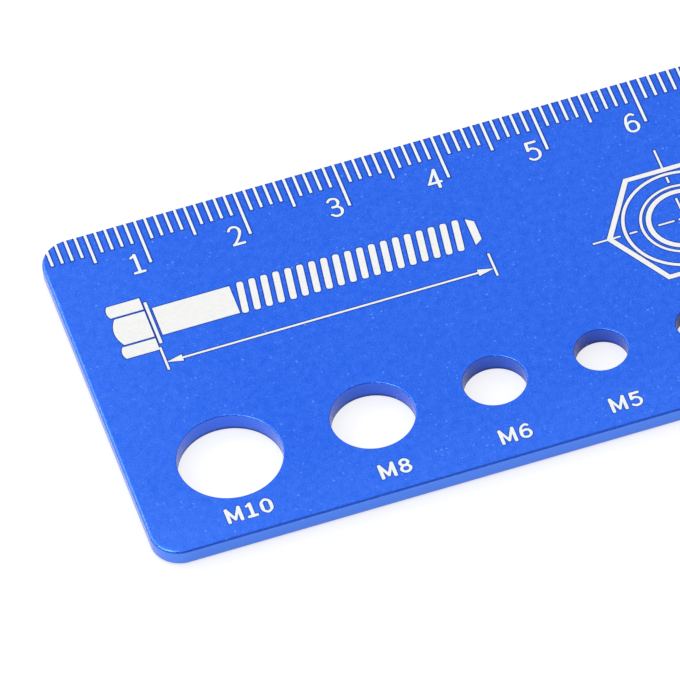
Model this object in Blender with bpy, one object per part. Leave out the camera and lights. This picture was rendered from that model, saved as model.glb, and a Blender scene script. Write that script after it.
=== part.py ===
"""Bolt size gauge: a flat aluminium plate with a row of sized holes and a millimetre scale.

The plate lies on its back with its face up. X runs along the scale from the zero end, Y runs
from the hole side to the scale edge, and the origin is under the middle of the back face.
"""

import math

import bmesh
import bpy
from mathutils import Vector

MM = 0.001

# The plate, blanked from 2 mm sheet and tumbled, so its back edge is rounder than its face edge.
PLATE_LENGTH = 85.0 * MM
PLATE_WIDTH = 41.5 * MM
PLATE_THICKNESS = 2.0 * MM
CORNER_RADIUS = 3.0 * MM
FACE_EDGE_ROUND = 0.35 * MM
BACK_EDGE_ROUND = 0.6 * MM

# The gauge holes, in order from the zero end. The clearance is on the diameter.
BOLT_DIAMETERS = [size * MM for size in (10.0, 8.0, 6.0, 5.0, 4.0, 3.0)]
BORE_CLEARANCE = 0.1 * MM
END_WALL = 4.9 * MM
HOLE_WEB = 5.0 * MM
HOLE_ROW_HEIGHT = 9.7 * MM
HOLE_FACE_ROUND = 0.15 * MM
HOLE_BACK_ROUND = 0.15 * MM

# The scale, cut into the face from its edge. Every fifth line is longer, every tenth the longest.
LINE_PITCH = 1.0 * MM
LINE_WIDTH = 0.33 * MM
LINE_DEPTH = 0.05 * MM
UNIT_LINE_LENGTH = 2.9 * MM
FIFTH_LINE_LENGTH = 4.0 * MM
TENTH_LINE_LENGTH = 5.8 * MM

# How finely the curves are divided, and how far a cutter runs past the surface that it cuts.
CORNER_SEGMENTS = 12
EDGE_SEGMENTS = 4
BORE_SEGMENTS = 64
HOLE_EDGE_SEGMENTS = 3
CUTTER_OVERRUN = 1.0 * MM

ANODISED_BLUE = (0.037, 0.159, 0.878, 1.0)
SMOOTH_ANGLE = math.radians(35.0)


def clear_scene():
    for thing in list(bpy.data.objects):
        bpy.data.objects.remove(thing, do_unlink=True)


def anodised_material():
    """Blue anodised, bead-blasted aluminium."""
    material = bpy.data.materials.new("anodised_blue")
    material.use_nodes = True
    shader = material.node_tree.nodes["Principled BSDF"]
    shader.inputs["Base Color"].default_value = ANODISED_BLUE
    shader.inputs["Metallic"].default_value = 0.6
    shader.inputs["Roughness"].default_value = 0.45
    return material


def finished_object(name, bm):
    """Turn a bmesh into a linked object, shaded smooth across its small angles."""
    bmesh.ops.recalc_face_normals(bm, faces=bm.faces)
    mesh = bpy.data.meshes.new(name)
    bm.to_mesh(mesh)
    bm.free()
    mesh.shade_smooth()
    mesh.set_sharp_from_angle(angle=SMOOTH_ANGLE)
    thing = bpy.data.objects.new(name, mesh)
    bpy.context.collection.objects.link(thing)
    return thing


def round_edges(bm, edges, radius, segments):
    bmesh.ops.bevel(
        bm, geom=edges, offset=radius, offset_type="OFFSET", segments=segments,
        profile=0.5, affect="EDGES", clamp_overlap=False,
    )


def rim_edges(bm, height):
    """The edges that lie at one height, which are the outline of the face or of the back."""
    return [
        edge for edge in bm.edges
        if all(math.isclose(vert.co.z, height, abs_tol=1e-7) for vert in edge.verts)
    ]


def plate_blank():
    """A rectangle raised to the sheet's thickness, then its corners and both its rims rounded."""
    bm = bmesh.new()
    x = PLATE_LENGTH / 2
    y = PLATE_WIDTH / 2
    outline = [bm.verts.new((a, b, 0.0)) for a, b in ((-x, -y), (x, -y), (x, y), (-x, y))]
    back = bm.faces.new(outline)
    raised = bmesh.ops.extrude_face_region(bm, geom=[back])["geom"]
    face_verts = [part for part in raised if isinstance(part, bmesh.types.BMVert)]
    bmesh.ops.translate(bm, verts=face_verts, vec=(0.0, 0.0, PLATE_THICKNESS))
    bmesh.ops.recalc_face_normals(bm, faces=bm.faces)

    uprights = [edge for edge in bm.edges if edge.verts[0].co.z != edge.verts[1].co.z]
    round_edges(bm, uprights, CORNER_RADIUS, CORNER_SEGMENTS)
    round_edges(bm, rim_edges(bm, PLATE_THICKNESS), FACE_EDGE_ROUND, EDGE_SEGMENTS)
    round_edges(bm, rim_edges(bm, 0.0), BACK_EDGE_ROUND, EDGE_SEGMENTS)
    return finished_object("gauge_plate", bm)


def gauge_bores():
    """The centre's distance from the zero end and the radius of each hole that the plate holds.

    Each hole stands one web away from the wall of the hole before it.
    """
    bores = []
    wall = END_WALL
    for diameter in BOLT_DIAMETERS:
        radius = (diameter + BORE_CLEARANCE) / 2
        if wall + 2 * radius + END_WALL > PLATE_LENGTH:
            break
        bores.append((wall + radius, radius))
        wall += 2 * radius + HOLE_WEB
    return bores


def flared_rim(radius, rounding, height, outward):
    """Profile points of a hole's broken edge, from the bore's wall out to the plate's surface.

    The edge is a quarter round whose middle lies one round away from the wall and the surface.
    """
    points = []
    for step in range(HOLE_EDGE_SEGMENTS + 1):
        turn = math.radians(90.0) * step / HOLE_EDGE_SEGMENTS
        reach = radius + rounding * (1 - math.cos(turn))
        depth = rounding * (1 - math.sin(turn))
        points.append((reach, height - outward * depth))
    return points


def add_bore_cutter(bm, distance, radius):
    """Spin a spool shape: a straight bore that flares into both of the plate's surfaces."""
    lower = flared_rim(radius, HOLE_BACK_ROUND, 0.0, -1)
    upper = flared_rim(radius, HOLE_FACE_ROUND, PLATE_THICKNESS, 1)
    bottom = -CUTTER_OVERRUN
    top = PLATE_THICKNESS + CUTTER_OVERRUN
    profile = (
        [(0.0, bottom), (radius + HOLE_BACK_ROUND, bottom)]
        + lower[::-1]
        + upper
        + [(radius + HOLE_FACE_ROUND, top), (0.0, top)]
    )
    centre = Vector((distance - PLATE_LENGTH / 2, HOLE_ROW_HEIGHT - PLATE_WIDTH / 2, 0.0))
    verts = [bm.verts.new(centre + Vector((reach, 0.0, height))) for reach, height in profile]
    edges = [bm.edges.new(pair) for pair in zip(verts, verts[1:])]
    spun = bmesh.ops.spin(
        bm, geom=verts + edges, cent=centre, axis=(0.0, 0.0, 1.0),
        angle=math.tau, steps=BORE_SEGMENTS, use_merge=True,
    )
    return spun


def bore_cutter():
    bm = bmesh.new()
    for distance, radius in gauge_bores():
        add_bore_cutter(bm, distance, radius)
    bmesh.ops.remove_doubles(bm, verts=bm.verts, dist=1e-7)
    return finished_object("bore_cutter", bm)


def line_length(number):
    if number % 10 == 0:
        return TENTH_LINE_LENGTH
    if number % 5 == 0:
        return FIFTH_LINE_LENGTH
    return UNIT_LINE_LENGTH


def scale_line_count():
    """The lines that fit before the rounded edge of the far end."""
    room = PLATE_LENGTH - FACE_EDGE_ROUND - LINE_WIDTH / 2
    return int(room / LINE_PITCH)


def add_box(bm, low, high):
    made = bmesh.ops.create_cube(bm, size=1.0)["verts"]
    for vert in made:
        vert.co = [high[i] if vert.co[i] > 0 else low[i] for i in range(3)]


def scale_cutter():
    """One shallow groove for each line, open at the scale edge."""
    bm = bmesh.new()
    edge = PLATE_WIDTH / 2
    floor = PLATE_THICKNESS - LINE_DEPTH
    for number in range(1, scale_line_count() + 1):
        middle = number * LINE_PITCH - PLATE_LENGTH / 2
        low = (middle - LINE_WIDTH / 2, edge - line_length(number), floor)
        high = (middle + LINE_WIDTH / 2, edge + CUTTER_OVERRUN, PLATE_THICKNESS + CUTTER_OVERRUN)
        add_box(bm, low, high)
    return finished_object("scale_cutter", bm)


def cut(plate, cutter):
    """Take one cutter's volume out of the plate, and keep the cutter out of the picture."""
    cutter.display_type = "WIRE"
    cutter.hide_render = True
    subtraction = plate.modifiers.new(cutter.name, "BOOLEAN")
    subtraction.operation = "DIFFERENCE"
    subtraction.solver = "EXACT"
    subtraction.object = cutter


clear_scene()
gauge_plate = plate_blank()
gauge_plate.data.materials.append(anodised_material())
cut(gauge_plate, bore_cutter())
cut(gauge_plate, scale_cutter())
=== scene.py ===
import math

import bpy
import numpy as np
from mathutils import Matrix, Vector
from mathutils.geometry import delaunay_2d_cdt


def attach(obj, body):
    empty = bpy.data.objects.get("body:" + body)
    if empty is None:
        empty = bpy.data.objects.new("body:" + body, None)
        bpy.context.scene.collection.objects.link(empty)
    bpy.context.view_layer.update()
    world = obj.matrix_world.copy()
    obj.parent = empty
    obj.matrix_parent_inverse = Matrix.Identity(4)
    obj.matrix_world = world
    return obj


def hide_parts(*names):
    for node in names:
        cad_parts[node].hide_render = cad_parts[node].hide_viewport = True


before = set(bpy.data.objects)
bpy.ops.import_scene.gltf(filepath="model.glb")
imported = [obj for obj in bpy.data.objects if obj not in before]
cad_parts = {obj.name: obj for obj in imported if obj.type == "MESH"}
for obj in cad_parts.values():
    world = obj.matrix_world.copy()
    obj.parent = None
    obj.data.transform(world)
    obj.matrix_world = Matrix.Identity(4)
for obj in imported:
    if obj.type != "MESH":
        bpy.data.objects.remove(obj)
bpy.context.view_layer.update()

MM = 0.001


# The camera. It looks down on the zero end of the plate from the hole side, a little from the
# left, through a long lens from almost a metre away, so the plate's edges stay nearly parallel.
view_azimuth = math.radians(12.59)
view_elevation = math.radians(48.85)
view_roll = math.radians(-6.44)
view_distance = 931.03 * MM
aim_point = Vector((-18.52, -1.01, 2.0)) * MM

view_direction = Vector((
    math.sin(view_azimuth) * math.cos(view_elevation),
    math.cos(view_azimuth) * math.cos(view_elevation),
    -math.sin(view_elevation),
))
camera_data = bpy.data.cameras.new("bench_camera")
camera_data.sensor_width = 36.0
camera_data.lens = 519.96
camera_data.clip_start = 0.05
camera_data.clip_end = 10.0
camera = bpy.data.objects.new("bench_camera", camera_data)
camera.matrix_world = (
    Matrix.Translation(aim_point - view_direction * view_distance)
    @ view_direction.to_track_quat("-Z", "Y").to_matrix().to_4x4()
    @ Matrix.Rotation(view_roll, 4, "Z")
)
bpy.context.collection.objects.link(camera)
bpy.context.scene.camera = camera


# The gauge plate. It is blanked from 2 mm aluminium sheet, drilled, tumbled so that its rims are
# rounded, blasted with fine beads, and dyed blue in the anodising bath. It is one piece of metal.
plate_length = 85.0 * MM
plate_width = 41.5 * MM
plate_thickness = 2.0 * MM
corner_radius = 3.0 * MM
face_round = 0.35 * MM
back_round = 0.6 * MM
hole_face_round = 0.15 * MM
hole_back_round = 0.15 * MM
hole_sides = 128
hole_row_y = -11.05 * MM
hole_centres_x = np.array([-32.55, -18.45, -6.35, 4.25, 13.85, 22.45]) * MM
hole_radii = np.array([5.05, 4.05, 3.05, 2.55, 2.05, 1.55]) * MM
corner_points = 29
rim_points = 9
hole_rim_points = 7
sharp_angle = math.radians(35.0)


def rounded_outline(inset):
    """Points and outward directions round the plate's outline, moved inwards by the inset.

    Each corner is a quarter circle about its own centre, of the corner radius less the inset.
    The straight sides are the gaps between one quarter circle and the next.
    """
    quarter = np.linspace(0.0, np.pi / 2, corner_points)
    angles = (np.arange(4)[:, None] * np.pi / 2 + quarter).ravel()
    outward = np.stack([np.cos(angles), np.sin(angles)], axis=1)
    side_x = np.repeat([1.0, -1.0, -1.0, 1.0], quarter.size)
    side_y = np.repeat([1.0, 1.0, -1.0, -1.0], quarter.size)
    centres = np.stack(
        [side_x * (plate_length / 2 - corner_radius), side_y * (plate_width / 2 - corner_radius)],
        axis=1,
    )
    return centres + outward * (corner_radius - inset), outward


def rounded_section(upper_round, lower_round, points):
    """Inset, height, outward part and upward part of the normal, down a wall with two rounds.

    Over the upper round, at a turn from 0 to 90 degrees, the inset is r (1 - sin turn) and the
    height is the thickness less r (1 - cos turn). The lower round mirrors it on the back.
    """
    turn = np.linspace(0.0, np.pi / 2, points)
    inset = np.concatenate([upper_round * (1 - np.sin(turn)), lower_round * (1 - np.cos(turn))])
    height = np.concatenate([
        plate_thickness - upper_round * (1 - np.cos(turn)), lower_round * (1 - np.sin(turn)),
    ])
    outward = np.concatenate([np.sin(turn), np.cos(turn)])
    upward = np.concatenate([np.cos(turn), -np.sin(turn)])
    return inset, height, outward, upward


def ring_faces(first, rows, columns, flip=False):
    """Quads of a grid of rings, each ring closed on itself, row after row from index first."""
    row, column = np.meshgrid(np.arange(rows - 1), np.arange(columns), indexing="ij")
    nearby = (column + 1) % columns
    quads = np.stack([
        row * columns + column, (row + 1) * columns + column,
        (row + 1) * columns + nearby, row * columns + nearby,
    ], axis=-1).reshape(-1, 4) + first
    return quads[:, ::-1] if flip else quads


def flat_fill(points, rings, upwards):
    """Triangles of a flat face that lies inside the first ring and outside the bores' rings.

    The rings bound a Delaunay mesh. A triangle stays where its middle is further from every bore
    than the sides of that bore's ring, and it is turned round where it faces the wrong way.
    """
    order = np.concatenate(rings)
    edges, first = [], 0
    for ring in rings:
        here = np.arange(first, first + len(ring))
        edges += np.stack([here, np.roll(here, -1)], axis=1).tolist()
        first += len(ring)
    flat = [Vector(xy) for xy in points[order, :2] / MM]
    inside_rings, merge_distance = 1, 1e-6
    made = delaunay_2d_cdt(flat, edges, [], inside_rings, merge_distance)
    source = np.array([origin[0] for origin in made[3]])
    triangles = order[source[np.array(made[2])]]
    middles = points[triangles, :2].mean(axis=1)
    ring_radii = np.array([np.hypot(*(points[ring[0], :2] - (centre_x, hole_row_y)))
                           for ring, centre_x in zip(rings[1:], hole_centres_x)])
    off_bore = np.hypot(
        middles[:, :1] - hole_centres_x, middles[:, 1:] - hole_row_y
    ) > ring_radii * math.cos(math.pi / hole_sides)
    triangles = triangles[off_bore.all(axis=1)]
    a, b, c = (points[triangles[:, corner], :2] for corner in range(3))
    signed = (b[:, 0] - a[:, 0]) * (c[:, 1] - a[:, 1]) - (b[:, 1] - a[:, 1]) * (c[:, 0] - a[:, 0])
    turned = (signed > 0) != upwards
    triangles[turned] = triangles[turned][:, ::-1]
    return triangles


def add_piece(name, points, faces, material):
    """A linked mesh object at the origin, of these points and faces, shaded smooth."""
    mesh = bpy.data.meshes.new(name)
    mesh.from_pydata(points.tolist(), [], [face for group in faces for face in group.tolist()])
    mesh.update()
    mesh.shade_smooth()
    mesh.set_sharp_from_angle(angle=sharp_angle)
    mesh.materials.append(material)
    piece = bpy.data.objects.new(name, mesh)
    bpy.context.collection.objects.link(piece)
    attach(piece, "root")
    return piece


def set_sockets(tree, node, **inputs):
    """Set a node's sockets: to a value where one is given, and by a link where a socket is.

    A socket goes by its name, or by i and its number where other sockets share its name.
    """
    for name, value in inputs.items():
        socket = node.inputs[int(name[1:]) if name[1:].isdigit() else name.replace("_", " ")]
        if isinstance(value, bpy.types.NodeSocket):
            tree.links.new(value, socket)
        else:
            socket.default_value = value


def add_node(tree, kind, **inputs):
    """A shader node with its sockets set."""
    node = tree.nodes.new(kind)
    set_sockets(tree, node, **inputs)
    return node


def work_out(tree, operation, first, second):
    """What a sum, product or other operation makes of two numbers."""
    node = add_node(tree, "ShaderNodeMath", i0=first, i1=second)
    node.operation = operation
    return node.outputs["Value"]


def move_range(tree, value, low, high, to_low, to_high, smooth=False, clamp=True):
    """The value, moved from the range low to high into the range to_low to to_high."""
    node = add_node(tree, "ShaderNodeMapRange", Value=value, From_Min=low, From_Max=high,
                    To_Min=to_low, To_Max=to_high)
    node.interpolation_type = "SMOOTHSTEP" if smooth else "LINEAR"
    node.clamp = clamp
    return node.outputs["Result"]


def mix_values(tree, share, first, second):
    """The first number, taken toward the second by the share."""
    return add_node(tree, "ShaderNodeMix", Factor=share, i2=first, i3=second).outputs[0]


def mix_colours(tree, share, first, second, blend="MIX"):
    """The first colour, taken toward the second by the share, or multiplied by it."""
    node = tree.nodes.new("ShaderNodeMix")
    node.data_type = "RGBA"
    node.blend_type = blend
    set_sockets(tree, node, Factor=share, i6=first, i7=second)
    return node.outputs[2]


def start_material(name):
    """A new material, its node tree, its shader, and the place on the object that it reads."""
    material = bpy.data.materials.new(name)
    material.use_nodes = True
    tree = material.node_tree
    place = tree.nodes.new("ShaderNodeTexCoord").outputs["Object"]
    return material, tree, tree.nodes["Principled BSDF"], place


deep_dye = (0.0, 0.107, 0.775, 1.0)
light_dye = (0.03, 0.165, 0.885, 1.0)
rim_dye = (0.0, 0.12, 0.95, 1.0)
wall_dye = (0.085, 0.26, 0.95, 1.0)
# The painted shade on the bores' walls, from the widest bore to the narrowest.
painted_shade_in_bores = (0.62, 0.69, 0.99, 1.0)
deepest_painted_shade_in_bores = (0.0, 0.0, 0.14, 1.0)
# The painted shade at the foot of every wall.
painted_foot_shade = (0.006, 0.02, 0.09, 1.0)
# The colour of a dent's painted glint.
painted_dent_glint = (0.16, 0.4, 1.0, 1.0)
# How far the painted light reaches in from the zero end and from the hole side.
painted_light_end_reach = 16.5 * MM
painted_light_side_reach = 9.75 * MM
# Where the painted shade at a wall's foot is full and where it is gone, in height.
painted_foot_shade_full, painted_foot_shade_gone = 0.2 * MM, 0.55 * MM
rubbed_roughness = 0.14
face_coat, rim_coat = 0.34, 1.0


def anodised_finish():
    """Blue anodised metal, blasted with beads.

    The metal's colour drifts a little over millimetres, is grained at a tenth of a millimetre,
    and carries painted light that makes it a little lighter along the zero end and the hole side.
    Here and there a bead has left a flatter dent, whose glint is painted in as a lighter dot. The
    clear oxide over the dye is the coat. The rims and walls are rubbed smoother than the face, and
    the rims shine most. The walls are paler, but the bores' walls carry painted shade, deepest in
    the narrow bores, and every wall carries painted shade toward its foot.
    """
    material, tree, shader, place = start_material("blue_anodised_aluminium")
    axes = add_node(tree, "ShaderNodeSeparateXYZ", Vector=place)

    # The face's tone runs from the deep dye, at 0, to the light dye, at 1.
    grain = add_node(tree, "ShaderNodeTexNoise", Vector=place, Scale=6500.0, Detail=4.0,
                     Roughness=0.62).outputs["Fac"]
    cloud = add_node(tree, "ShaderNodeTexNoise", Vector=place, Scale=1400.0, Detail=3.0,
                     Roughness=0.7).outputs["Fac"]
    blast = move_range(tree, grain, 0.38, 0.62, -0.3, 0.65, clamp=False)
    drift = move_range(tree, cloud, 0.38, 0.62, 0.0, 0.4, clamp=False)
    # Painted light makes the face a little lighter toward the zero end and the hole side.
    painted_light_at_zero_end = move_range(tree, axes.outputs["X"], -plate_length / 2,
                          painted_light_end_reach - plate_length / 2, 0.3, 0.0, smooth=True)
    painted_light_at_hole_side = move_range(tree, axes.outputs["Y"], -plate_width / 2,
                           painted_light_side_reach - plate_width / 2, 0.3, 0.0, smooth=True)
    tone = work_out(tree, "ADD", work_out(tree, "ADD", blast, drift),
                    work_out(tree, "ADD", painted_light_at_zero_end, painted_light_at_hole_side))
    face_colour = mix_colours(tree, tone, deep_dye, light_dye)
    face_colour.node.clamp_factor = False
    face_colour.node.clamp_result = True

    # The walls stand upright, the worn metal takes in the rims and the walls, and the rims are
    # what is worn and not a wall.
    normal = add_node(tree, "ShaderNodeSeparateXYZ",
                      Vector=tree.nodes.new("ShaderNodeNewGeometry").outputs["Normal"])
    level = work_out(tree, "ABSOLUTE", normal.outputs["Z"], 0.0)
    wall = move_range(tree, level, 0.1, 0.5, 1.0, 0.0)
    worn = move_range(tree, level, 0.7, 0.97, 1.0, 0.0)
    rim = work_out(tree, "SUBTRACT", worn, wall)
    worn_colour = mix_colours(tree, wall, mix_colours(tree, rim, face_colour, rim_dye), wall_dye)

    # Painted shade: the bores' walls are darker, most in a narrow bore and toward its foot, and the
    # foot of every wall is darker still.
    painted_shade_attribute = tree.nodes.new("ShaderNodeAttribute")
    painted_shade_attribute.attribute_name = "painted_bore_shade"
    painted_shade_ramp = add_node(tree, "ShaderNodeValToRGB",
                    Fac=work_out(tree, "MULTIPLY", painted_shade_attribute.outputs["Fac"], wall))
    painted_shade_ramp.color_ramp.elements[0].color = (1.0, 1.0, 1.0, 1.0)
    painted_shade_ramp.color_ramp.elements[1].color = deepest_painted_shade_in_bores
    painted_shade_ramp.color_ramp.elements.new(0.25).color = painted_shade_in_bores
    with_painted_bore_shade = mix_colours(tree, 1.0, worn_colour, painted_shade_ramp.outputs["Color"], blend="MULTIPLY")
    painted_foot_mask = move_range(tree, axes.outputs["Z"], painted_foot_shade_full, painted_foot_shade_gone, 0.7, 0.0, smooth=True)
    with_painted_foot_shade = mix_colours(tree, work_out(tree, "MULTIPLY", painted_foot_mask, wall), with_painted_bore_shade, painted_foot_shade)

    # Each dent's glint is painted as a lighter dot. Each dent has its own size and strength, and
    # the weakest quarter of them don't show.
    dent = add_node(tree, "ShaderNodeTexVoronoi", Vector=place, Scale=1900.0)
    lot = add_node(tree, "ShaderNodeSeparateColor", Color=dent.outputs["Color"])
    dent_reach = move_range(tree, lot.outputs["Green"], 0.0, 1.0, 0.1, 0.3)
    dot = move_range(tree, dent.outputs["Distance"], dent_reach, 0.0, 0.0, 1.0)
    strength = move_range(tree, lot.outputs["Red"], 0.25, 1.0, 0.0, 1.0)
    painted_glint = work_out(tree, "MULTIPLY", dot, strength)
    set_sockets(tree, shader, Base_Color=mix_colours(tree, painted_glint, with_painted_foot_shade, painted_dent_glint))

    rough_face = move_range(tree, grain, 0.3, 0.7, 0.36, 0.46)
    relief = add_node(tree, "ShaderNodeBump", Strength=0.8, Distance=0.05 * MM, Height=grain)
    set_sockets(
        tree, shader,
        Metallic=1.0,
        Roughness=mix_values(tree, worn, rough_face, rubbed_roughness),
        Normal=relief.outputs["Normal"],
        Coat_Weight=move_range(tree, rim, 0.0, 1.0, face_coat, rim_coat),
        Coat_Roughness=0.12,
        Coat_IOR=1.58,
        Coat_Normal=relief.outputs["Normal"],
    )
    return material


blue_anodised = anodised_finish()

outer_inset, outer_height, outer_out, outer_up = rounded_section(face_round, back_round, rim_points)
outer_rings = [rounded_outline(inset) for inset in outer_inset]
outer_points = np.concatenate([
    np.column_stack([ring, np.full(len(ring), height)])
    for (ring, outward), height in zip(outer_rings, outer_height)
])
outer_normals = np.concatenate([
    np.column_stack([outward * out, np.full(len(outward), up)])
    for (ring, outward), out, up in zip(outer_rings, outer_out, outer_up)
])
outline_size = len(outer_rings[0][0])
plate_points, plate_normals = [outer_points], [outer_normals]
painted_bore_shades = [np.zeros(len(outer_points))]
plate_faces = [ring_faces(0, len(outer_inset), outline_size)]
face_rings = [np.arange(outline_size)]
back_rings = [np.arange(outline_size) + (len(outer_inset) - 1) * outline_size]

# Each bore is turned about its own axis, with a broken edge where it meets the face and the back.
# Its wall carries painted shade, darker in a narrow bore, toward the foot, and on the side of the
# zero end, which the light from the left does not reach.
bore_inset, bore_height, bore_out, bore_up = rounded_section(
    hole_face_round, hole_back_round, hole_rim_points
)
widest_painted_shade, narrow_painted_shade = 0.25, 0.68
top_share, foot_share = 0.75, 0.5
all_round_share, zero_end_share = 1.1, 0.4
around = np.linspace(0.0, 2 * np.pi, hole_sides, endpoint=False)
spoke = np.stack([np.cos(around), np.sin(around)], axis=1)
first_point = len(outer_points)
for centre_x, radius in zip(hole_centres_x, hole_radii):
    reach = radius + bore_inset
    ring_xy = (centre_x, hole_row_y) + reach[:, None, None] * spoke
    ring_z = np.broadcast_to(bore_height[:, None, None], (len(reach), len(around), 1))
    plate_points.append(np.concatenate([ring_xy, ring_z], axis=2).reshape(-1, 3))
    inward = -bore_out[:, None, None] * spoke
    upward = np.broadcast_to(bore_up[:, None, None], (len(reach), len(around), 1))
    plate_normals.append(np.concatenate([inward, upward], axis=2).reshape(-1, 3))
    plate_faces.append(ring_faces(first_point, len(reach), len(around), flip=True))
    narrow = 1 - radius / hole_radii[0]
    down = 1 - bore_height / plate_thickness
    painted_ring_shade = widest_painted_shade + narrow_painted_shade * narrow * (top_share + foot_share * down)
    painted_ring_shade[[0, -1]] = 0.0
    side_share = all_round_share - zero_end_share * np.cos(around)
    painted_bore_shades.append(np.outer(painted_ring_shade, side_share).ravel())
    face_rings.append(np.arange(len(around)) + first_point)
    back_rings.append(np.arange(len(around)) + first_point + (len(reach) - 1) * len(around))
    first_point += len(reach) * len(around)

plate_points = np.concatenate(plate_points)
plate_normals = np.concatenate(plate_normals)
plate_faces.append(flat_fill(plate_points, face_rings, upwards=True))
plate_faces.append(flat_fill(plate_points, back_rings, upwards=False))
plate = add_piece("plate_finish", plate_points, plate_faces, blue_anodised)
plate.data.normals_split_custom_set_from_vertices(plate_normals.tolist())
# The bores' painted shade goes on the plate's points as an attribute.
painted_bore_shade = plate.data.attributes.new("painted_bore_shade", "FLOAT", "POINT")
painted_bore_shade.data.foreach_set("value", np.concatenate(painted_bore_shades))
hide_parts("gauge_plate")


# The scale lines. A laser burns the dye out of the oxide, which leaves it white, and scorches it
# dark along the burn's edge. One line stands at each millimetre, longer at the fifths and longest
# at the tenths, and runs out over the rim.
last_line = 84
line_width = 0.265 * MM
unit_length, fifth_length, tenth_length = 2.9 * MM, 4.0 * MM, 5.8 * MM
line_numbers = np.arange(1, last_line + 1)
line_lengths = np.where(
    line_numbers % 10 == 0, tenth_length,
    np.where(line_numbers % 5 == 0, fifth_length, unit_length),
)
line_scorch = 0.15 * MM
rim_inset = 0.03 * MM
rim_run = 0.45 * MM
rim_rows = 14
line_columns = 5
mark_lift = 0.006 * MM
scorch_lift = 0.003 * MM
mark_depth = 0.02 * MM


def face_point(x, y, lift):
    """Points on the plate's face and its rounded rim over x and y, raised along the normal.

    The distance inside the rounded outline is the corner radius less the distance from the
    rectangle of the corners' centres. Where it is less than the rim's round, the surface dips
    on a quarter circle, and its normal leans out by the same turn.
    """
    past_x = np.abs(x) - (plate_length / 2 - corner_radius)
    past_y = np.abs(y) - (plate_width / 2 - corner_radius)
    beyond = np.hypot(np.maximum(past_x, 0.0), np.maximum(past_y, 0.0))
    inset = corner_radius - (beyond + np.minimum(np.maximum(past_x, past_y), 0.0))
    dip = np.clip(face_round - inset, 0.0, face_round)
    lean = dip / face_round
    height = plate_thickness - face_round + np.sqrt(face_round ** 2 - dip ** 2)
    divisor = np.maximum(beyond, 1e-9)
    out_x = np.maximum(past_x, 0.0) / divisor * np.sign(x)
    out_y = np.maximum(past_y, 0.0) / divisor * np.sign(y)
    return np.stack([
        x + lift * lean * out_x, y + lift * lean * out_y, height + lift * np.sqrt(1 - lean ** 2),
    ], axis=-1)


def slab_grid(top, bottom):
    """Points and faces of thin closed slabs, one for each grid of top points.

    The grids have their rows along the slab and their columns across it. The bottom grid lies
    under the top one, and the four sides join the borders of the two.
    """
    count, rows, columns = top.shape[:3]
    size = rows * columns
    row, column = np.meshgrid(np.arange(rows - 1), np.arange(columns - 1), indexing="ij")
    corner = (row * columns + column).ravel()
    quads = np.stack([corner, corner + 1, corner + columns + 1, corner + columns], axis=1)
    index = np.arange(size).reshape(rows, columns)
    border = np.concatenate([index[0, :-1], index[:-1, -1], index[-1, :0:-1], index[:0:-1, 0]])
    after = np.roll(border, -1)
    walls = np.stack([after, border, border + size, after + size], axis=1)
    one = np.concatenate([quads, quads[:, ::-1] + size, walls])
    faces = (one[None] + (np.arange(count) * 2 * size)[:, None, None]).reshape(-1, 4)
    points = np.concatenate([top.reshape(count, size, 3), bottom.reshape(count, size, 3)], axis=1)
    return points.reshape(-1, 3), faces


def line_slabs(width, run_on, lift):
    """A slab for each line, of this width, its inner end run on, its outer end over the rim.

    The outer end follows the rim round the corners: it stands at the corner's centre plus the
    root of the radius squared less the distance past that centre squared. The rows are close
    together only where the line bends down over the rim.
    """
    across = np.linspace(-0.5, 0.5, line_columns) * width
    x = (line_numbers * MM - plate_length / 2)[:, None] + across
    past_corner = np.maximum(np.abs(x) - (plate_length / 2 - corner_radius), 0.0)
    outer_end = (plate_width / 2 - corner_radius
                 + np.sqrt((corner_radius - rim_inset) ** 2 - past_corner ** 2))
    inner_end = np.broadcast_to((plate_width / 2 - line_lengths - run_on)[:, None], x.shape)
    rim_start = outer_end - rim_run
    toward_rim = np.linspace(0.0, 1.0, rim_rows)[None, :, None]
    y = np.concatenate([
        inner_end[:, None], rim_start[:, None] + toward_rim * (outer_end - rim_start)[:, None],
    ], axis=1)
    x = np.broadcast_to(x[:, None], y.shape)
    return slab_grid(face_point(x, y, lift), face_point(x, y, -mark_depth))


def patched_colour(tree, place, scale, low, high, patch_colour, ground_colour):
    """Noise, and the colour it picks: the patches' below low, the ground's above high."""
    noise = add_node(tree, "ShaderNodeTexNoise", Vector=place, Scale=scale, Detail=3.0)
    ramp = add_node(tree, "ShaderNodeValToRGB", Fac=noise.outputs["Fac"])
    ramp.color_ramp.elements[0].position = low
    ramp.color_ramp.elements[0].color = patch_colour
    ramp.color_ramp.elements[1].position = high
    ramp.color_ramp.elements[1].color = ground_colour
    return noise.outputs["Fac"], ramp.outputs["Color"]


def etched_white(name, patch_colour, ground_colour):
    """Oxide with its dye burnt out: matt, off-white and faintly mottled with patches."""
    material, tree, shader, place = start_material(name)
    mottle, colour = patched_colour(tree, place, 3200.0, 0.3, 0.65, patch_colour, ground_colour)
    relief = add_node(tree, "ShaderNodeBump", Strength=0.1, Distance=0.02 * MM, Height=mottle)
    set_sockets(tree, shader, Base_Color=colour, Roughness=0.7, Specular_IOR_Level=0.3,
                Normal=relief.outputs["Normal"])
    return material


def scorched_edge():
    """Dyed oxide that the burn has only darkened, patchily."""
    material, tree, shader, place = start_material("scorched_dye")
    darkest, lightest = (0.012, 0.05, 0.33, 1.0), (0.03, 0.1, 0.5, 1.0)
    colour = patched_colour(tree, place, 4500.0, 0.35, 0.65, darkest, lightest)[1]
    set_sockets(tree, shader, Base_Color=colour, Metallic=1.0, Roughness=0.5)
    return material


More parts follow.
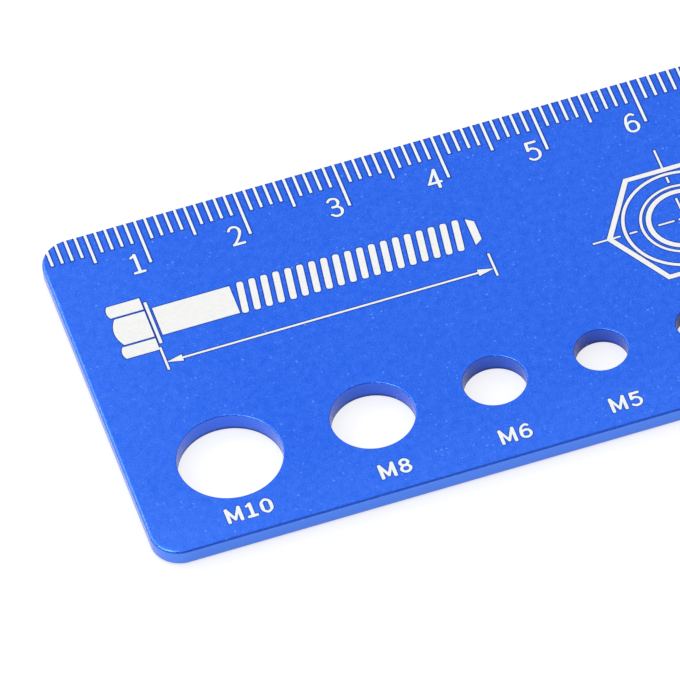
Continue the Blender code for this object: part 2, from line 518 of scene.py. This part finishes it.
# A fine burn keeps a trace of the dye, so its white is a little cool.
fine_white = etched_white(
    "fine_etched_white", (0.855, 0.912, 0.955, 1.0), (0.91, 0.966, 0.995, 1.0)
)
dark_edge = scorched_edge()
points, faces = line_slabs(line_width, 0.0, mark_lift)
add_piece("scale_lines", points, [faces], fine_white)
points, faces = line_slabs(line_width + 2 * line_scorch, line_scorch, scorch_lift)
line_edges = add_piece("scale_line_edges", points, [faces], dark_edge)


# The numbers on the scale, one at each centimetre, burnt in with the lines. Each stands on the
# left of its line, in a plain upright hand with a flag and a foot on the one. A glyph is made of
# straight lines, open curves and closed loops, through points of a box that is one by one.
glyph_strokes = {
    "0": [("loop", [(1.0, 0.5), (0.93, 0.83), (0.5, 1.0), (0.07, 0.83), (0.0, 0.5), (0.07, 0.17),
                    (0.5, 0.0), (0.93, 0.17)])],
    "1": [("line", [(0.53, 0.0), (0.53, 1.0)]),
          ("line", [(0.1, 0.885), (0.5, 0.985)]),
          ("line", [(0.0, 0.0), (1.0, 0.0)])],
    "2": [("curve", [(0.03, 0.84), (0.2, 0.96), (0.47, 1.0), (0.8, 0.93), (0.94, 0.745),
                     (0.87, 0.55), (0.66, 0.345), (0.38, 0.16), (0.1, 0.0)]),
          ("line", [(0.05, 0.0), (1.0, 0.0)])],
    "3": [("curve", [(0.04, 0.89), (0.22, 0.98), (0.47, 1.0), (0.78, 0.94), (0.9, 0.77),
                     (0.78, 0.6), (0.54, 0.53), (0.3, 0.525)]),
          ("curve", [(0.45, 0.525), (0.72, 0.5), (0.94, 0.38), (0.98, 0.23), (0.83, 0.06),
                     (0.5, 0.0), (0.24, 0.025), (0.0, 0.13)])],
    "4": [("line", [(0.76, 0.0), (0.76, 1.0)]),
          ("line", [(0.73, 0.98), (0.03, 0.28)]),
          ("line", [(0.0, 0.28), (1.0, 0.28)])],
    "5": [("line", [(0.16, 1.0), (0.93, 1.0)]),
          ("line", [(0.14, 1.0), (0.09, 0.6)]),
          ("curve", [(0.09, 0.57), (0.3, 0.645), (0.55, 0.645), (0.88, 0.53), (1.0, 0.32),
                     (0.86, 0.09), (0.5, 0.0), (0.22, 0.025), (0.0, 0.12)])],
    "6": [("curve", [(0.92, 0.925), (0.75, 0.99), (0.55, 0.99), (0.25, 0.88), (0.05, 0.62),
                     (0.0, 0.33)]),
          ("loop", [(0.0, 0.29), (0.13, 0.08), (0.5, 0.0), (0.87, 0.08), (1.0, 0.29),
                    (0.88, 0.51), (0.52, 0.59), (0.14, 0.5)])],
    "7": [("line", [(0.0, 1.0), (1.0, 1.0)]),
          ("curve", [(0.97, 0.97), (0.7, 0.66), (0.5, 0.34), (0.41, 0.0)])],
    "8": [("loop", [(0.93, 0.765), (0.81, 0.935), (0.5, 1.0), (0.19, 0.935), (0.07, 0.765),
                    (0.19, 0.6), (0.5, 0.535), (0.81, 0.6)]),
          ("loop", [(1.0, 0.265), (0.86, 0.455), (0.5, 0.53), (0.14, 0.455), (0.0, 0.265),
                    (0.14, 0.075), (0.5, 0.0), (0.86, 0.075)])],
    "M": [("line", [(0.0, 0.0), (0.0, 1.0)]),
          ("line", [(1.0, 0.0), (1.0, 1.0)]),
          ("line", [(0.03, 0.97), (0.5, 0.12)]),
          ("line", [(0.97, 0.97), (0.5, 0.12)])],
}
cap_reach = np.array([1.0, 0.6])
cap_half = np.array([0.55, 0.92])
layer_step = 0.0005 * MM


def smooth_path(knots, closed, steps=7):
    """A curve through the knots.

    Its slope at a knot is half the way from the knot before to the knot after, and a cubic with
    those slopes joins each knot to the next.
    """
    if closed:
        padded = np.concatenate([knots[-1:], knots, knots[:2]])
    else:
        padded = np.concatenate([2 * knots[:1] - knots[1:2], knots, 2 * knots[-1:] - knots[-2:-1]])
    before, start, end, after = padded[:-3], padded[1:-2], padded[2:-1], padded[3:]
    t = np.arange(steps)[:, None, None] / steps
    curve = 0.5 * (
        2 * start + (end - before) * t + (2 * before - 5 * start + 4 * end - after) * t ** 2
        + (3 * start - before - 3 * end + after) * t ** 3
    )
    path = np.swapaxes(curve, 0, 1).reshape(-1, 2)
    return path if closed else np.concatenate([path, knots[-1:]])


def pen_edges(path, closed, upright_width, level_width):
    """The two edges of a stroke along a path, for a pen that is wider on uprights than on levels.

    The half width is half the length of the direction once that is scaled by the level width
    along X and the upright width along Y, less a fifth on a slant. An open stroke runs on at both
    ends, where its corners are cut off: it reaches a share of its half width beyond the path, and
    keeps a share of that half width there, by cap_reach and cap_half.
    """
    if closed:
        step = np.roll(path, -1, axis=0) - np.roll(path, 1, axis=0)
    else:
        step = np.gradient(path, axis=0)
    step = step / np.linalg.norm(step, axis=1, keepdims=True)
    slant = np.abs(2 * step[:, 0] * step[:, 1])
    half = np.hypot(step[:, 0] * level_width, step[:, 1] * upright_width) * (0.5 - 0.1 * slant)
    if not closed:
        path = np.concatenate([
            path[:1] - step[:1] * half[0] * cap_reach[:, None], path,
            path[-1:] + step[-1:] * half[-1] * cap_reach[::-1, None],
        ])
        step = np.concatenate([step[[0, 0]], step, step[[-1, -1]]])
        half = np.concatenate([half[0] * cap_half, half, half[-1] * cap_half[::-1]])
    side = np.stack([-step[:, 1], step[:, 0]], axis=1) * half[:, None]
    return path + side, path - side


def stroke_slab(left, right, closed, lift, layer):
    """Points and faces of a closed slab between two edges, its top just above the plate's face.

    Strokes that cross lie on layers half a micrometre apart, so no two tops share a plane.
    """
    top = lift + layer * layer_step
    pair = np.stack([left, right], axis=1)
    if not closed:
        upper = face_point(pair[..., 0], pair[..., 1], top)[None]
        lower = face_point(pair[..., 0], pair[..., 1], -mark_depth)[None]
        return slab_grid(upper, lower)
    count = len(pair)
    loop = np.stack([
        face_point(pair[:, 0, 0], pair[:, 0, 1], top),
        face_point(pair[:, 1, 0], pair[:, 1, 1], top),
        face_point(pair[:, 1, 0], pair[:, 1, 1], -mark_depth),
        face_point(pair[:, 0, 0], pair[:, 0, 1], -mark_depth),
    ])
    here = np.arange(count)
    nearby = (here + 1) % count
    seam = np.stack([3 * count + here, here, nearby, 3 * count + nearby], axis=1)
    return loop.reshape(-1, 3), np.concatenate([ring_faces(0, 4, count), seam])


def scorched(left, right, closed, border):
    """The edges moved apart by the scorched border, and run on by it where the stroke is open."""
    apart = left - right
    apart = apart / np.linalg.norm(apart, axis=1, keepdims=True) * border
    left, right = left + apart, right - apart
    if closed:
        return left, right
    middle = (left + right) / 2
    ends = []
    for end, inside in ((0, 1), (-1, -2)):
        away = middle[end] - middle[inside]
        ends.append(away / np.linalg.norm(away) * border)
    return tuple(
        np.concatenate([edge[:1] + ends[0], edge, edge[-1:] + ends[1]]) for edge in (left, right)
    )


def burn_glyph(strokes, glyph, corner, width, height, upright_width, level_width):
    """Add one glyph to a list, its outer box at the corner, its strokes as pen_edges says."""
    inner = np.array([width - upright_width, height - level_width])
    offset = np.array(corner) + np.array([upright_width, level_width]) / 2
    for layer, (kind, knots) in enumerate(glyph_strokes[glyph]):
        knots = np.array(knots) * inner + offset
        closed = kind == "loop"
        path = knots if kind == "line" else smooth_path(knots, closed)
        left, right = pen_edges(path, closed, upright_width, level_width)
        strokes.append((left, right, closed, layer))


def joined(slabs):
    """The points of all the slabs in one array, and their faces counted on from slab to slab."""
    starts = np.cumsum([0] + [len(points) for points, faces in slabs])
    faces = [faces + start for (points, faces), start in zip(slabs, starts)]
    return np.concatenate([points for points, faces in slabs]), faces


def add_marks(name, strokes, border, white):
    """Two pieces from a list of strokes: the white marks, and the wider scorched slabs under them.

    A stroke is its two edges, whether it closes on itself, and its layer.
    """
    add_piece(name, *joined([
        stroke_slab(left, right, closed, mark_lift, layer)
        for left, right, closed, layer in strokes
    ]), white)
    piece = add_piece(name + "_edges", *joined([
        stroke_slab(*scorched(left, right, closed, border), closed, scorch_lift, layer)
        for left, right, closed, layer in strokes
    ]), dark_edge)


number_height = 2.54 * MM
number_width = 1.41 * MM
odd_number_widths = {1: 1.27 * MM, 4: 1.53 * MM}
number_gap = 0.69 * MM
number_base = plate_width / 2 - 6.78 * MM
number_pen = (0.32 * MM, 0.285 * MM)
number_scorch = 0.1 * MM
number_strokes = []
for number in range(1, 9):
    width = odd_number_widths.get(number, number_width)
    right_side = number * 10 * MM - plate_length / 2 - number_gap
    burn_glyph(number_strokes, str(number), (right_side - width, number_base),
               width, number_height, *number_pen)
add_marks("scale_numbers", number_strokes, number_scorch, fine_white)


# The size labels by the holes, burnt in like the numbers. Each stands under its hole, by eye, so
# most of them are a little off its middle. The two largest sizes are burnt in a little bolder.
label_height = 1.82 * MM
label_digit_width = 1.21 * MM
odd_label_widths = {"M": 1.57 * MM, "1": 1.1 * MM}
label_base = 1.77 * MM - plate_width / 2
label_gap = 0.35 * MM
label_pen = np.array([0.32, 0.29]) * MM
bold_pen = 1.08 * label_pen
bold_sizes = (10, 8)
label_scorch = 0.08 * MM
label_centres_x = np.array([-32.79, -18.43, -6.55, 4.39, 13.85, 22.45]) * MM
label_strokes = []
for size, centre_x in zip((10, 8, 6, 5, 4, 3), label_centres_x):
    glyphs = "M" + str(size)
    widths = [odd_label_widths.get(glyph, label_digit_width) for glyph in glyphs]
    pen_x = centre_x - (sum(widths) + label_gap * (len(widths) - 1)) / 2
    for glyph, width in zip(glyphs, widths):
        burn_glyph(label_strokes, glyph, (pen_x, label_base), width, label_height,
                   *(bold_pen if size in bold_sizes else label_pen))
        pen_x += width + label_gap
add_marks("size_labels", label_strokes, label_scorch, fine_white)


# The line drawings. A bolt seen from its side, with the line that shows where its length is
# taken, and a hexagon nut seen from its end, burnt in with the scale and labels. Their sizes are
# in millimetres, and bolt_y is the bolt's axis.
broad_white = etched_white(
    "broad_etched_white", (0.875, 0.885, 0.878, 1.0), (0.935, 0.945, 0.928, 1.0)
)
drawing_scorch = 0.12 * MM
bolt_strokes = []
bolt_y = 7.5
head_left, head_right = -38.4, -34.9
head_flats = ((-3.45, -1.95), (-1.7, 1.7), (1.95, 3.45))
widest_flat, crown_rise, crown_points = 3.4, 0.5, 13
flange_x, flange_half, flange_width = -34.55, 2.6, 0.3
shank_left, shank_right, shank_half = -34.1, -26.4, 1.8
thread_left, thread_pitch, thread_turns = -25.6, 1.2, 19
thread_half, thread_lean, thread_width = 1.65, 0.22, 0.68
point_left, point_right, point_half, tip_half = -2.75, -2.0, 1.75, 1.2


def draw(strokes, left, right, closed=False, layer=0):
    """Add the stroke between two edges, in millimetres from the plate's middle."""
    strokes.append((np.array(left) * MM, np.array(right) * MM, closed, layer))


def draw_line(strokes, start, end, width, layer=0):
    """A straight stroke of one width."""
    edges = pen_edges(np.array([start, end], dtype=float), False, width, width)
    draw(strokes, *edges, layer=layer)


def draw_ring(strokes, centre, radius, width, sides=120, start=0.0, sweep=360.0, layer=0):
    """A stroke round a centre: two arcs, half a width inside and outside the radius.

    With six sides it is a hexagon, whose radius is taken to its corners.
    """
    closed = sweep == 360.0
    angles = np.radians(start + np.linspace(0.0, sweep, sides + (not closed), endpoint=not closed))
    spokes = np.stack([np.cos(angles), np.sin(angles)], axis=1)
    draw(strokes, centre + (radius - width / 2) * spokes, centre + (radius + width / 2) * spokes,
         closed, layer)


for low, high in head_flats:
    along = np.linspace(-1.0, 1.0, crown_points)
    heights = bolt_y + (low + high) / 2 + along * (high - low) / 2
    crown = head_left + crown_rise * along ** 2 * (high - low) / widest_flat
    draw(bolt_strokes, np.column_stack([crown, heights]),
         np.column_stack([np.full(crown_points, head_right), heights]))
draw_line(bolt_strokes, (flange_x, bolt_y - flange_half), (flange_x, bolt_y + flange_half),
          flange_width)
draw(bolt_strokes, [(shank_left, bolt_y + shank_half), (shank_right, bolt_y + shank_half)],
     [(shank_left, bolt_y - shank_half), (shank_right, bolt_y - shank_half)])
for thread in range(thread_turns):
    thread_x = thread_left + thread_pitch * thread
    draw_line(bolt_strokes, (thread_x - thread_lean, bolt_y - thread_half),
              (thread_x + thread_lean, bolt_y + thread_half), thread_width)
draw(bolt_strokes, [(point_left, bolt_y + point_half), (point_right, bolt_y + tip_half)],
     [(point_left, bolt_y - point_half), (point_right, bolt_y - tip_half)])

# The length line, with an arrow at each end that nearly touches the line across it.
length_y, length_left, length_right, length_pen = 2.3, -34.8, -2.0, 0.22
below_line, above_line, line_clearance = 0.9, 1.9, 1.0
arrow_gap, arrow_length, arrow_tip_half, arrow_tail_half = 0.15, 1.5, 0.02, 0.42
for end_x in (length_left, length_right):
    draw_line(bolt_strokes, (end_x, length_y - below_line), (end_x, length_y + above_line),
              length_pen)
draw_line(bolt_strokes, (length_left + line_clearance, length_y),
          (length_right - line_clearance, length_y), length_pen)
for end_x, inward in ((length_left, 1.0), (length_right, -1.0)):
    tip_x = end_x + inward * arrow_gap
    tail_x = tip_x + inward * arrow_length
    tip_half_y, tail_half_y = inward * arrow_tip_half, inward * arrow_tail_half
    draw(bolt_strokes, [(tip_x, length_y + tip_half_y), (tail_x, length_y + tail_half_y)],
         [(tip_x, length_y - tip_half_y), (tail_x, length_y - tail_half_y)], layer=1)
add_marks("bolt_drawing", bolt_strokes, drawing_scorch, broad_white)

nut_strokes = []
nut_centre = np.array([17.0, 1.8])
nut_corner_radius, chamfer_radius, bore_radius, thread_radius = 7.6, 5.95, 3.5, 4.25
outline_pen, chamfer_pen, bore_pen, thread_pen = 0.6, 0.32, 0.5, 0.26
centre_dashes = ((-0.55, 0.55), (1.15, 2.6), (4.9, 5.5), (6.6, 9.2))
dash_width = 0.2
draw_ring(nut_strokes, nut_centre, nut_corner_radius, outline_pen, sides=6)
draw_ring(nut_strokes, nut_centre, chamfer_radius, chamfer_pen, layer=1)
draw_ring(nut_strokes, nut_centre, bore_radius, bore_pen)
draw_ring(nut_strokes, nut_centre, thread_radius, thread_pen, sides=90, start=75.0, sweep=285.0)
for turn in (0.0, 90.0):
    way = np.array([math.cos(math.radians(turn)), math.sin(math.radians(turn))])
    for near, far in centre_dashes:
        for side in (1.0, -1.0):
            if near > 0 or side > 0:
                draw_line(nut_strokes, nut_centre + way * near * side,
                          nut_centre + way * far * side, dash_width, layer=2)
add_marks("nut_drawing", nut_strokes, drawing_scorch, broad_white)


# The floor is a wide white sweep. Camera and transmission rays see it lit up to white, and glossy
# rays in part. It keeps the soft shadow where the plate rests.
floor_mesh = bpy.data.meshes.new("floor")
floor_reach = 1.5
floor_mesh.from_pydata(
    [(-floor_reach, -floor_reach, 0.0), (floor_reach, -floor_reach, 0.0),
     (floor_reach, floor_reach, 0.0), (-floor_reach, floor_reach, 0.0)], [], [(0, 1, 2, 3)],
)
floor = bpy.data.objects.new("floor", floor_mesh)
bpy.context.collection.objects.link(floor)
floor_material = bpy.data.materials.new("white_sweep")
floor_material.use_nodes = True
floor_tree = floor_material.node_tree
floor_tree.nodes.clear()
floor_gloss_share = 0.4
paper_white = (0.9, 0.9, 0.9, 1.0)
lit_paper_grey = (0.45, 0.45, 0.45, 1.0)
pure_white = (1.0, 1.0, 1.0, 1.0)
paper_glow = 0.68


def seen_share(tree, gloss_share):
    """One for a camera or transmission ray, the given share for a glossy ray, none for others."""
    ray = tree.nodes.new("ShaderNodeLightPath")
    gloss = work_out(tree, "MULTIPLY", ray.outputs["Is Glossy Ray"], gloss_share)
    seen = work_out(tree, "MAXIMUM", ray.outputs["Is Camera Ray"], gloss)
    return work_out(tree, "MAXIMUM", seen, ray.outputs["Is Transmission Ray"])


paper = add_node(floor_tree, "ShaderNodeBsdfDiffuse", Color=paper_white)
lit_paper = add_node(floor_tree, "ShaderNodeBsdfDiffuse", Color=lit_paper_grey)
glow = add_node(floor_tree, "ShaderNodeEmission", Color=pure_white, Strength=paper_glow)
lit = add_node(floor_tree, "ShaderNodeAddShader", i0=lit_paper.outputs["BSDF"],
               i1=glow.outputs["Emission"])
sweep = add_node(floor_tree, "ShaderNodeMixShader", i0=seen_share(floor_tree, floor_gloss_share),
                 i1=paper.outputs["BSDF"], i2=lit.outputs["Shader"])
add_node(floor_tree, "ShaderNodeOutputMaterial", Surface=sweep.outputs["Shader"])
floor_mesh.materials.append(floor_material)


# The studio. The room is white where the camera or the metal looks at it, though dimmer for the
# metal toward the front and the horizon, and gives a level soft light. Two soft boxes stand on the
# left, one of them toward the back, and both are kept low, so the face stays blue from all sides.
soft_light = 0.86
front_way = (0.0, -0.87, 0.5)
front_from, front_full, front_level = 0.45, 0.85, 0.5
horizon_full, horizon_to, horizon_level = 0.1, 0.4, 0.4
soft_box_size = 0.45
world = bpy.data.worlds.new("white_room")
bpy.context.scene.world = world
world.use_nodes = True
room = world.node_tree
room.nodes.clear()
way = room.nodes.new("ShaderNodeTexCoord").outputs["Generated"]
toward_front = add_node(room, "ShaderNodeVectorMath", i0=way, i1=front_way)
toward_front.operation = "DOT_PRODUCT"
front = move_range(room, toward_front.outputs["Value"], front_from, front_full, 1.0, front_level)
height = add_node(room, "ShaderNodeSeparateXYZ", Vector=way).outputs["Z"]
horizon = move_range(room, height, horizon_full, horizon_to, horizon_level, 1.0)
camera_ray = room.nodes.new("ShaderNodeLightPath").outputs["Is Camera Ray"]
white_level = mix_values(room, camera_ray, work_out(room, "MULTIPLY", front, horizon), 1.0)
soft = add_node(room, "ShaderNodeBackground", Color=pure_white, Strength=soft_light)
white = add_node(room, "ShaderNodeBackground", Color=pure_white, Strength=white_level)
mixed = add_node(room, "ShaderNodeMixShader", i0=seen_share(room, 1.0),
                 i1=soft.outputs["Background"], i2=white.outputs["Background"])
add_node(room, "ShaderNodeOutputWorld", Surface=mixed.outputs["Shader"])


def add_soft_box(name, place, power, on_gloss_only=False):
    """A square area lamp at a place in metres, of a power in watts, that faces the plate."""
    lamp = bpy.data.lights.new(name, "AREA")
    lamp.shape = "SQUARE"
    lamp.size = soft_box_size
    lamp.energy = power
    box = bpy.data.objects.new(name, lamp)
    box.matrix_world = (
        Matrix.Translation(place)
        @ (-Vector(place)).to_track_quat("-Z", "Y").to_matrix().to_4x4()
    )
    box.visible_diffuse = not on_gloss_only
    bpy.context.collection.objects.link(box)


add_soft_box("left_box", (-0.62, -0.2, 0.72), 5.5, on_gloss_only=True)
add_soft_box("left_back_box", (-0.62, 0.6, 0.5), 2.6)


bpy.context.scene.view_settings.view_transform = "Standard"
